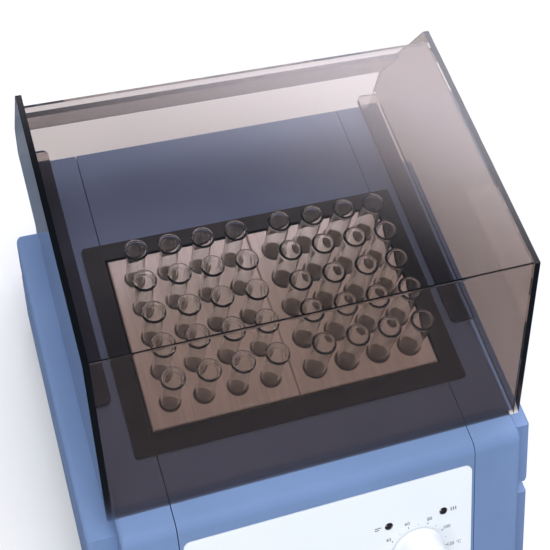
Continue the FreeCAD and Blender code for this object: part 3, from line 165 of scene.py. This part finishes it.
def blue_paint():
    """Satin powder coat: orange peel, faint mottling and a painted highlight that makes every edge a paler blue.
    """
    s = Shader("blue_paint")
    blue = srgb(108, 132, 172)
    mottle = s.remap(s.noise(16, 4), 0.35, 0.65, 0.0, 1.0)
    colour = s.mix(mottle, shade(blue, 0.94), shade(blue, 1.05))
    flecks = s.remap(s.noise(2600, 2), 0.62, 0.74, 0.0, 0.35)
    colour = s.mix(flecks, colour, shade(blue, 1.35))
    # painted highlight: edges are lightened towards a paler blue whatever the light
    colour = s.mix(s.remap(s.edge_highlight_mask(0.5 * MM), 0, 1, 0, 0.35), colour, shade(blue, 1.7))
    rough = s.remap(s.noise(60, 5), 0.3, 0.7, 0.40, 0.52)
    peel = s.bump(s.noise(1100, 2), 0.05 * MM, 0.35)
    paint = s.node("BsdfPrincipled", Base_Color=colour, Roughness=rough, Normal=peel, Specular_IOR_Level=0.45)
    return s.finish(paint)


def fascia_film():
    """Pale satin control film with a fine grain and the lightest of smudges."""
    s = Shader("fascia_film")
    pale = srgb(228, 233, 238)
    colour = s.mix(s.noise(30, 5), shade(pale, 0.965), shade(pale, 1.02))
    rough = s.remap(s.noise(45, 6), 0.3, 0.7, 0.34, 0.46)
    grain = s.bump(s.noise(3200, 2), 0.02 * MM, 0.25)
    return s.finish(s.node("BsdfPrincipled", Base_Color=colour, Roughness=rough, Normal=grain))


def black_plastic():
    """Moulded black surround: fine spark texture and a painted highlight that makes every edge greyer."""
    s = Shader("black_plastic")
    black = srgb(26, 25, 26)
    colour = s.mix(s.noise(24, 5), shade(black, 0.85), shade(black, 1.2))
    # painted highlight: edges are lightened towards grey whatever the light
    colour = s.mix(s.remap(s.edge_highlight_mask(0.3 * MM), 0, 1, 0, 0.5), colour, srgb(70, 69, 70))
    rough = s.remap(s.noise(80, 4), 0.3, 0.7, 0.42, 0.56)
    spark = s.bump(s.noise(2000, 3), 0.04 * MM, 0.45)
    return s.finish(s.node("BsdfPrincipled", Base_Color=colour, Roughness=rough, Normal=spark))


def milled_aluminium(name, tone, along="y", metallic=0.35):
    """Bare aluminium with fine cutter lines that run along one axis."""
    s = Shader(name)
    across = {"y": s.stretched(1, 0.03, 1), "x": s.stretched(0.03, 1, 1)}[along]
    lines = s.noise(1500, 3, place=across)
    broad = s.noise(160, 3, place=across)
    colour = s.mix(s.remap(lines, 0.3, 0.7, 0, 1), shade(tone, 0.86), shade(tone, 1.08))
    colour = s.mix(s.remap(broad, 0.35, 0.7, 0, 0.35), colour, shade(tone, 0.8))
    colour = s.mix(s.remap(s.noise(35, 4), 0.55, 0.75, 0, 0.25), colour, shade(tone, 1.15))
    rough = s.remap(lines, 0.3, 0.7, 0.30, 0.46)
    grooves = s.bump(lines, 0.01 * MM, 0.3)
    surface = s.node("BsdfPrincipled", Base_Color=colour, Metallic=metallic, Roughness=rough, Normal=grooves)
    return s.finish(surface)


def clear_glass():
    """Lime glass with the faintest smears, which lets light through to what stands behind it."""
    s = Shader("clear_glass")
    tint = s.mix(s.noise(90, 3), (0.93, 0.96, 0.95, 1), (0.98, 0.99, 0.985, 1))
    rough = s.remap(s.noise(140, 5), 0.45, 0.75, 0.0, 0.035)
    glass = s.node("BsdfPrincipled", Base_Color=tint, Roughness=rough, IOR=1.5, Transmission_Weight=1.0)
    through = s.node("BsdfTransparent", Color=(0.93, 0.94, 0.93, 1))
    shadow = s.node("LightPath").outputs["Is Shadow Ray"]
    return s.finish(mix_shader(s, shadow, glass, through))


def mix_shader(s, factor, first, second):
    made = s.node("MixShader", Fac=factor)
    s.tree.links.new(first.outputs[0], made.inputs[1])
    s.tree.links.new(second.outputs[0], made.inputs[2])
    return made


def smoked_acrylic():
    """Polished sheet that darkens and browns the light by the thickness it crosses."""
    s = Shader("smoked_acrylic")
    tint = s.mix(s.noise(40, 3), (0.97, 0.97, 0.97, 1), (1, 1, 1, 1))
    rough = s.remap(s.noise(55, 6), 0.5, 0.8, 0.0, 0.03)
    sheet = s.node("BsdfPrincipled", Base_Color=tint, Roughness=rough, IOR=1.49, Transmission_Weight=1.0)
    through = s.node("BsdfTransparent", Color=(0.79, 0.71, 0.67, 1))
    shadow = s.node("LightPath").outputs["Is Shadow Ray"]
    volume = s.node("VolumeAbsorption", Color=(0.36, 0.22, 0.15, 1), Density=285.0)
    return s.finish(mix_shader(s, shadow, sheet, through), volume)


def knob_plastic():
    """Smooth white plastic with a trace of flow texture."""
    s = Shader("knob_plastic")
    white = srgb(224, 227, 231)
    colour = s.mix(s.noise(60, 4), shade(white, 0.97), shade(white, 1.0))
    rough = s.remap(s.noise(70, 5), 0.3, 0.7, 0.30, 0.40)
    grain = s.bump(s.noise(2400, 2), 0.02 * MM, 0.2)
    surface = s.node("BsdfPrincipled", Base_Color=colour, Roughness=rough, Normal=grain, Coat_Weight=0.15)
    return s.finish(surface)


def plastic(name, colour, roughness=0.45, grain=0.03, scale=1800):
    """Plain moulded plastic with grain and slow changes of tone."""
    s = Shader(name)
    shaded = s.mix(s.noise(35, 4), shade(colour, 0.88), shade(colour, 1.1))
    rough = s.remap(s.noise(60, 4), 0.3, 0.7, roughness - 0.05, roughness + 0.07)
    bumps = s.bump(s.noise(scale, 3), grain * MM, 0.35)
    return s.finish(s.node("BsdfPrincipled", Base_Color=shaded, Roughness=rough, Normal=bumps))


def metal(name, colour, roughness=0.3, scale=600):
    """Plated or bare metal with fine mottling."""
    s = Shader(name)
    shaded = s.mix(s.noise(scale, 4), shade(colour, 0.85), shade(colour, 1.1))
    rough = s.remap(s.noise(scale / 3, 4), 0.3, 0.7, roughness - 0.06, roughness + 0.1)
    bumps = s.bump(s.noise(scale * 2, 3), 0.01 * MM, 0.3)
    surface = s.node("BsdfPrincipled", Base_Color=shaded, Metallic=1.0, Roughness=rough, Normal=bumps)
    return s.finish(surface)


def fibre_board():
    """Pressed mineral fibre."""
    s = Shader("fibre_board")
    fibres = s.noise(900, 6, 0.7)
    colour = s.mix(fibres, srgb(196, 188, 168), srgb(232, 226, 210))
    fuzz = s.bump(fibres, 0.25 * MM, 0.8)
    return s.finish(s.node("BsdfPrincipled", Base_Color=colour, Roughness=0.95, Normal=fuzz))


def circuit_board():
    """Green solder mask over a faint grid of copper tracks."""
    s = Shader("circuit_board")
    tracks = s.node("TexBrick", {"offset": 0.35}, Vector=s.place, Scale=160.0, Mortar_Size=0.03)
    tracks.inputs["Color1"].default_value = srgb(22, 92, 48)
    tracks.inputs["Color2"].default_value = srgb(18, 80, 42)
    tracks.inputs["Mortar"].default_value = srgb(48, 128, 70)
    rough = s.remap(s.noise(120, 4), 0.3, 0.7, 0.25, 0.4)
    return s.finish(s.node("BsdfPrincipled", Base_Color=tracks.outputs["Color"], Roughness=rough))


def lamp_lens():
    """Near-black lens of an unlit lamp."""
    s = Shader("lamp_lens")
    colour = s.mix(s.noise(400, 3), srgb(20, 10, 10), srgb(34, 16, 15))
    rough = s.remap(s.noise(500, 3), 0.3, 0.7, 0.06, 0.16)
    surface = s.node("BsdfPrincipled", Base_Color=colour, Roughness=rough, Coat_Weight=0.6, IOR=1.55)
    return s.finish(surface)


def printing_ink():
    s = Shader("printing_ink")
    colour = s.mix(s.noise(1500, 3), srgb(38, 41, 46), srgb(66, 70, 76))
    return s.finish(s.node("BsdfPrincipled", Base_Color=colour, Roughness=0.55))


def pale_floor():
    s = Shader("pale_floor")
    colour = s.mix(s.noise(3, 3), (0.73, 0.725, 0.72, 1), (0.76, 0.755, 0.75, 1))
    return s.finish(s.node("BsdfPrincipled", Base_Color=colour, Roughness=0.9))


def paint_frame():
    """Give every CAD node that stays in sight its material."""
    steel = metal("plated_steel", srgb(178, 178, 180), 0.3)
    brass = metal("plated_brass", srgb(206, 184, 128), 0.25)
    screws = metal("screw_steel", srgb(164, 164, 166), 0.32, 900)
    black = plastic("black_moulding", srgb(30, 30, 32), 0.42)
    block = milled_aluminium("block_aluminium", srgb(236, 233, 230))
    raw = milled_aluminium("raw_aluminium", srgb(196, 196, 197), "x", 1.0)
    acrylic = smoked_acrylic()
    glass = clear_glass()
    slots = {
        "painted_blue": blue_paint(),
        "white_fascia": fascia_film(),
        "black_surround": black_plastic(),
        "block_aluminium": block,
        "silicone": plastic("silicone_rubber", srgb(186, 92, 44), 0.6, 0.05),
        "insulation": fibre_board(),
        "bare_steel": steel,
        "tube_glass": glass,
        "lamp_lens": lamp_lens(),
        "white_knob": knob_plastic(),
        "pointer_grey": plastic("pointer_grey", srgb(120, 124, 130), 0.5),
        "black_moulding": black,
        "pin_brass": brass,
        "screw_steel": screws,
        "board_green": circuit_board(),
        "core_iron": metal("varnished_iron", srgb(92, 86, 80), 0.5),
        "terminal_plastic": plastic("terminal_plastic", srgb(52, 120, 70), 0.5),
        "foot_rubber": plastic("foot_rubber", srgb(28, 28, 29), 0.75, 0.06),
        "smoked_acrylic": acrylic,
    }
    for part in frame["record"]["subparts"]:
        node = frame["nodes"][part["node"]]
        node.data.materials.clear()
        node.data.materials.append(slots[part["material_slot"]])
    for node in ("heater_plate", "triac_heatsink"):
        frame["nodes"][node].data.materials[0] = raw
    return slots


# ---------------------------------------------------------------- mesh helpers

def piece(name, mesh, material, body, smooth_angle=40):
    """A mesh object that rides on a CAD body."""
    made = bpy.data.objects.new(name, mesh)
    scene.collection.objects.link(made)
    mesh.materials.append(material)
    mesh.polygons.foreach_set("use_smooth", [True] * len(mesh.polygons))
    if smooth_angle is not None:
        mesh.set_sharp_from_angle(angle=math.radians(smooth_angle))
    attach(made, body)
    return made


def lathe(target, profile, segments, place):
    """Add to a bmesh the closed solid that a closed loop of (radius, height) points sweeps round an axis."""
    rings = []
    for radius, height in profile:
        if radius < 1e-7:
            rings.append([target.verts.new(place @ Vector((0, 0, height)))])
            continue
        ring = []
        for step in range(segments):
            angle = 2 * math.pi * step / segments
            point = Vector((radius * math.cos(angle), radius * math.sin(angle), height))
            ring.append(target.verts.new(place @ point))
        rings.append(ring)
    for low, high in zip(rings, rings[1:] + rings[:1]):
        if len(low) == 1 and len(high) == 1:
            continue
        for step in range(segments):
            following = (step + 1) % segments
            corners = [low[0]] if len(low) == 1 else [low[step], low[following]]
            corners += [high[0]] if len(high) == 1 else [high[following], high[step]]
            target.faces.new(corners)


def arc(centre, radius, start, end, steps):
    """Points round part of a circle; angles in degrees, 0 along +radius, 90 up."""
    points = []
    for step in range(steps + 1):
        angle = math.radians(start + (end - start) * step / steps)
        points.append((centre[0] + radius * math.cos(angle), centre[1] + radius * math.sin(angle)))
    return points


def mesh_from(target, name):
    bmesh.ops.recalc_face_normals(target, faces=target.faces)
    mesh = bpy.data.meshes.new(name)
    target.to_mesh(mesh)
    target.free()
    return mesh


# ---------------------------------------------------------------- glass tubes

def tube_profile(radius, rim_radius, length):
    """Half section of a test tube: round bottom, plain wall, flared and fire-polished rim."""
    neck = length - 4.2 * RIM_BEAD
    rim_low = length - RIM_BEAD
    flare = [step / 5 for step in range(1, 5)]
    outside = arc((0, radius), radius, -90, 0, 14) + [(radius, neck)]
    outside += [(radius + (rim_radius - radius) * t ** 1.8, neck + (rim_low - neck) * t) for t in flare]
    rim = arc((rim_radius - RIM_BEAD, rim_low), RIM_BEAD, 0, 180, 12)
    mouth = rim_radius - 2 * RIM_BEAD
    bore = radius - TUBE_WALL
    inside = [(bore + (mouth - bore) * t ** 1.8, neck + (rim_low - neck) * t) for t in reversed(flare)]
    inside += [(bore, neck)] + arc((0, radius), bore, 0, -90, 14)
    return [(max(r, 0.0), z) for r, z in outside + rim + inside]


def tube_radii(node):
    """Radius of the rim and of the body of a node's tubes, and the distance between neighbours."""
    low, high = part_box(node)
    size = high - low
    pitch = (size.y - size.x) / (ROWS - COLUMNS)
    rim = (size.x - pitch * (COLUMNS - 1)) / 2
    band = (low.z + size.z * 0.2, low.z + size.z * 0.97)
    body = [vertex.co.x for vertex in frame["nodes"][node].data.vertices if band[0] < vertex.co.z < band[1]]
    radius = rim - (size.x - (max(body) - min(body))) / 2
    return rim, radius, pitch


def glass_tubes(side, glass):
    """A block's tubes, each leaning a little its own way within the play of its well."""
    node = f"tubes_{side}"
    low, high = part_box(node)
    rim, radius, pitch = tube_radii(node)
    lean_limit = math.radians(LEAN_LIMIT)
    profile = tube_profile(radius, rim, high.z - low.z)
    tubes = bmesh.new()
    for column in range(COLUMNS):
        for row in range(ROWS):
            foot = Vector((low.x + rim + pitch * column, low.y + rim + pitch * row, low.z))
            heading = rng.uniform(0, 2 * math.pi)
            tilt_axis = (math.cos(heading), math.sin(heading), 0)
            lean = Matrix.Rotation(rng.uniform(0.1, 1) * lean_limit, 4, tilt_axis)
            spin = Matrix.Rotation(rng.uniform(0, 2 * math.pi), 4, "Z")
            lathe(tubes, profile, 40, Matrix.Translation(foot) @ lean @ spin)
    mesh = mesh_from(tubes, f"glass_{node}")
    made = piece(f"glass_{node}", mesh, glass, f"{side}_tubes", None)
    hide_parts(node)


# ---------------------------------------------------------------- printed dial

def knob_joint():
    return next(joint for joint in frame["joints"] if joint["name"] == "knob_turn")


def panel_matrix(lift):
    """Frame on the fascia at the knob's axis: X to the right, Y up the slope, Z out of the panel."""
    axis_point = Vector(knob_joint()["pos_m"])
    normal = Vector(knob_joint()["axis"]).normalized()
    right = Vector((1, 0, 0))
    up = normal.cross(right)
    vertices = frame["nodes"]["fascia"].data.vertices
    face = max((vertex.co - axis_point).dot(normal) for vertex in vertices)
    origin = axis_point + normal * (face + lift)
    turn = Matrix((right, up, normal)).transposed().to_4x4()
    return Matrix.Translation(origin) @ turn


def printed(name, drawing, ink):
    """A drawing in the panel's plane, laid on the fascia as a film of ink."""
    mesh = bpy.data.meshes.new(name)
    drawing.to_mesh(mesh)
    drawing.free()
    mesh.transform(panel_matrix(INK_LIFT))
    return piece(name, mesh, ink, "housing", None)


def strip(drawing, start, end, width):
    """A straight stroke between two points of the panel's plane, with a little thickness."""
    along = (end - start).normalized()
    aside = Vector((-along.y, along.x, 0)) * width / 2
    low = [drawing.verts.new(p) for p in (start - aside, end - aside, end + aside, start + aside)]
    high = [drawing.verts.new(v.co + Vector((0, 0, INK_THICKNESS))) for v in low]
    drawing.faces.new(reversed(low))
    drawing.faces.new(high)
    for index in range(4):
        following = (index + 1) % 4
        drawing.faces.new((low[index], low[following], high[following], high[index]))


def dial_point(angle, radius):
    """A place round the knob; the angle runs clockwise from straight up the slope, in degrees."""
    turn = math.radians(angle)
    return Vector((math.sin(turn) * radius, math.cos(turn) * radius, 0))


def dial_marks(ink):
    """A short tick for every ten degrees of the scale."""
    drawing = bmesh.new()
    for step in range(11):
        angle = SCALE_START + SCALE_STEP / 2 * step
        width = 0.45 * MM if step % 2 == 0 else 0.3 * MM
        length = 1.0 * MM if step % 2 == 0 else 0.6 * MM
        strip(drawing, dial_point(angle, TICK_RADIUS), dial_point(angle, TICK_RADIUS + length), width)
    printed("dial_ticks", drawing, ink)


def dial_numbers(ink):
    """The scale's numbers, upright on the panel."""
    for step, text in enumerate(("20", "40", "60", "80", "100", "120 °C")):
        angle = SCALE_START + SCALE_STEP * step
        curve = bpy.data.curves.new(f"number_{step}", "FONT")
        curve.body = text
        curve.size = NUMBER_SIZE
        curve.extrude = 0.015 * MM
        curve.align_x = "CENTER"
        curve.align_y = "CENTER"
        shape = bpy.data.objects.new(curve.name, curve)
        scene.collection.objects.link(shape)
        mesh = bpy.data.meshes.new_from_object(shape)
        bpy.data.objects.remove(shape)
        aside = Vector((1.6 * MM, 0, 0)) if step == 5 else Vector((0, 0, 0))
        place = Matrix.Translation(dial_point(angle, NUMBER_RADIUS) + aside)
        mesh.transform(panel_matrix(INK_THICKNESS) @ place)
        piece(f"dial_number_{text.split()[0]}", mesh, ink, "housing", None)


def lamp_symbols(ink):
    """Plain signs beside the lamps: three waves for heating and a bar for ready."""
    lamps_low, lamps_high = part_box("indicator_lamps")
    to_panel = panel_matrix(0).inverted()
    middle = (lamps_low + lamps_high) / 2
    left = to_panel @ Vector((lamps_low.x, middle.y, middle.z))
    right = to_panel @ Vector((lamps_high.x, middle.y, middle.z))
    drawing = bmesh.new()
    for wave in range(3):
        base = Vector((right.x + (2.2 + 1.3 * wave) * MM, right.y - 1.1 * MM, 0))
        points = [base + Vector((0.28 * MM * math.sin(2.2 * k), 0.44 * MM * k, 0)) for k in range(6)]
        for start, end in zip(points, points[1:]):
            strip(drawing, start, end, 0.4 * MM)
    for bar in range(2):
        start = Vector((left.x - 5.6 * MM, left.y + (0.6 - 1.2 * bar) * MM, 0))
        strip(drawing, start, start + Vector((3.6 * MM - 1.2 * MM * bar, 0, 0)), 0.45 * MM)
    printed("lamp_signs", drawing, ink)


# ---------------------------------------------------------------- cover

def part_cover():
    """Hold the cover's glued sheets a hair apart, so that their faces don't coincide."""
    for name, node in frame["nodes"].items():
        if name.startswith("cover_"):
            gap = node.modifiers.new("glue_line", "DISPLACE")
            gap.strength = -0.03 * MM
            gap.mid_level = 0.0


# ---------------------------------------------------------------- studio

def area_light(name, place, target, size, power, mirrored):
    """Soft rectangular light; one that isn't mirrored doesn't show in polished or glossy surfaces."""
    data = bpy.data.lights.new(name, "AREA")
    data.shape = "RECTANGLE"
    data.size, data.size_y = size
    data.energy = power
    data.color = WARM_WHITE
    light = bpy.data.objects.new(name, data)
    light.visible_glossy = mirrored
    light.visible_transmission = mirrored
    light.location = place
    light.rotation_euler = (Vector(target) - Vector(place)).to_track_quat("-Z", "Y").to_euler()
    scene.collection.objects.link(light)


def surroundings():
    """Dim room with one bright window behind the object to its right, which fades out at its edges."""
    world = bpy.data.worlds.new("studio_room")
    world.use_nodes = True
    tree = world.node_tree
    direction = tree.nodes.new("ShaderNodeTexCoord").outputs["Generated"]
    parts = tree.nodes.new("ShaderNodeSeparateXYZ")
    tree.links.new(direction, parts.inputs[0])
    facing = tree.nodes.new("ShaderNodeVectorMath")
    facing.operation = "DOT_PRODUCT"
    tree.links.new(direction, facing.inputs[0])
    facing.inputs[1].default_value = (0.6, 0.8, 0)

    def fade(value, start, end):
        ramp = tree.nodes.new("ShaderNodeMapRange")
        ramp.interpolation_type = "SMOOTHSTEP"
        tree.links.new(value, ramp.inputs["Value"])
        ramp.inputs["From Min"].default_value = start
        ramp.inputs["From Max"].default_value = end
        return ramp.outputs["Result"]

    def product(first, second):
        made = tree.nodes.new("ShaderNodeMath")
        made.operation = "MULTIPLY"
        tree.links.new(first, made.inputs[0])
        tree.links.new(second, made.inputs[1])
        return made.outputs[0]

    band = product(fade(parts.outputs["Z"], 0.84, 0.74), fade(parts.outputs["Z"], 0.45, 0.60))
    window = product(band, fade(facing.outputs["Value"], 0.45, 0.68))
    light = tree.nodes.new("ShaderNodeMix")
    light.data_type = "RGBA"
    light.inputs[6].default_value = ROOM_LIGHT
    light.inputs[7].default_value = WINDOW_LIGHT
    tree.links.new(window, light.inputs[0])
    tree.links.new(light.outputs[2], tree.nodes["Background"].inputs["Color"])
    scene.world = world


def studio():
    """Pale floor that reflections leave out, a large soft light overhead, a small one at the front left."""
    floor = bmesh.new()
    bmesh.ops.create_grid(floor, x_segments=8, y_segments=8, size=3.0)
    mesh = bpy.data.meshes.new("floor")
    floor.to_mesh(mesh)
    floor.free()
    plane = bpy.data.objects.new("floor", mesh)
    plane.location.z = -FLOOR_DROP
    mesh.materials.append(pale_floor())
    scene.collection.objects.link(plane)
    plane.visible_glossy = False
    area_light("overhead", (-0.15, -0.25, 1.7), (0, 0, 0.1), (1.4, 1.4), 33, mirrored=False)
    area_light("front_left", (-1.0, -1.2, 0.9), (0, -0.05, 0.08), (0.35, 0.35), 5, mirrored=True)
    surroundings()
    scene.view_settings.view_transform = "Standard"


def camera():
    """Looks down over the front left corner, tilted to its left."""
    aim_right = 8.6 * MM        # where the camera aims, from the middle of the blocks
    aim_back = 20.9 * MM
    azimuth = math.radians(-30.51)
    elevation = math.radians(59.69)
    roll = math.radians(14.88)
    distance = 565.2 * MM
    blocks_low, blocks_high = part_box("block_left")
    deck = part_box("side_casing_left")[1].z
    aim = Vector((aim_right, (blocks_low.y + blocks_high.y) / 2 + aim_back, deck))
    reach = math.cos(elevation)
    out = Vector((math.sin(azimuth) * reach, -math.cos(azimuth) * reach, math.sin(elevation)))
    level = Vector((math.cos(azimuth), math.sin(azimuth), 0))
    upward = out.cross(level)
    right = level * math.cos(roll) + upward * math.sin(roll)
    top = upward * math.cos(roll) - level * math.sin(roll)
    data = bpy.data.cameras.new("camera")
    data.sensor_width = 36
    data.lens = 69.12
    data.clip_start = 0.01
    eye = bpy.data.objects.new("camera", data)
    turn = Matrix((right, top, out)).transposed().to_4x4()
    eye.matrix_world = Matrix.Translation(aim + out * distance) @ turn
    scene.collection.objects.link(eye)
    scene.camera = eye


def main():
    materials = paint_frame()
    ink = printing_ink()
    for side in ("left", "right"):
        glass_tubes(side, materials["tube_glass"])
    dial_marks(ink)
    dial_numbers(ink)
    lamp_symbols(ink)
    part_cover()
    studio()
    camera()
    scene.cycles.transparent_max_bounces = 48
    scene.cycles.max_bounces = 24
    scene.cycles.transmission_bounces = 24
    scene.cycles.glossy_bounces = 8


main()
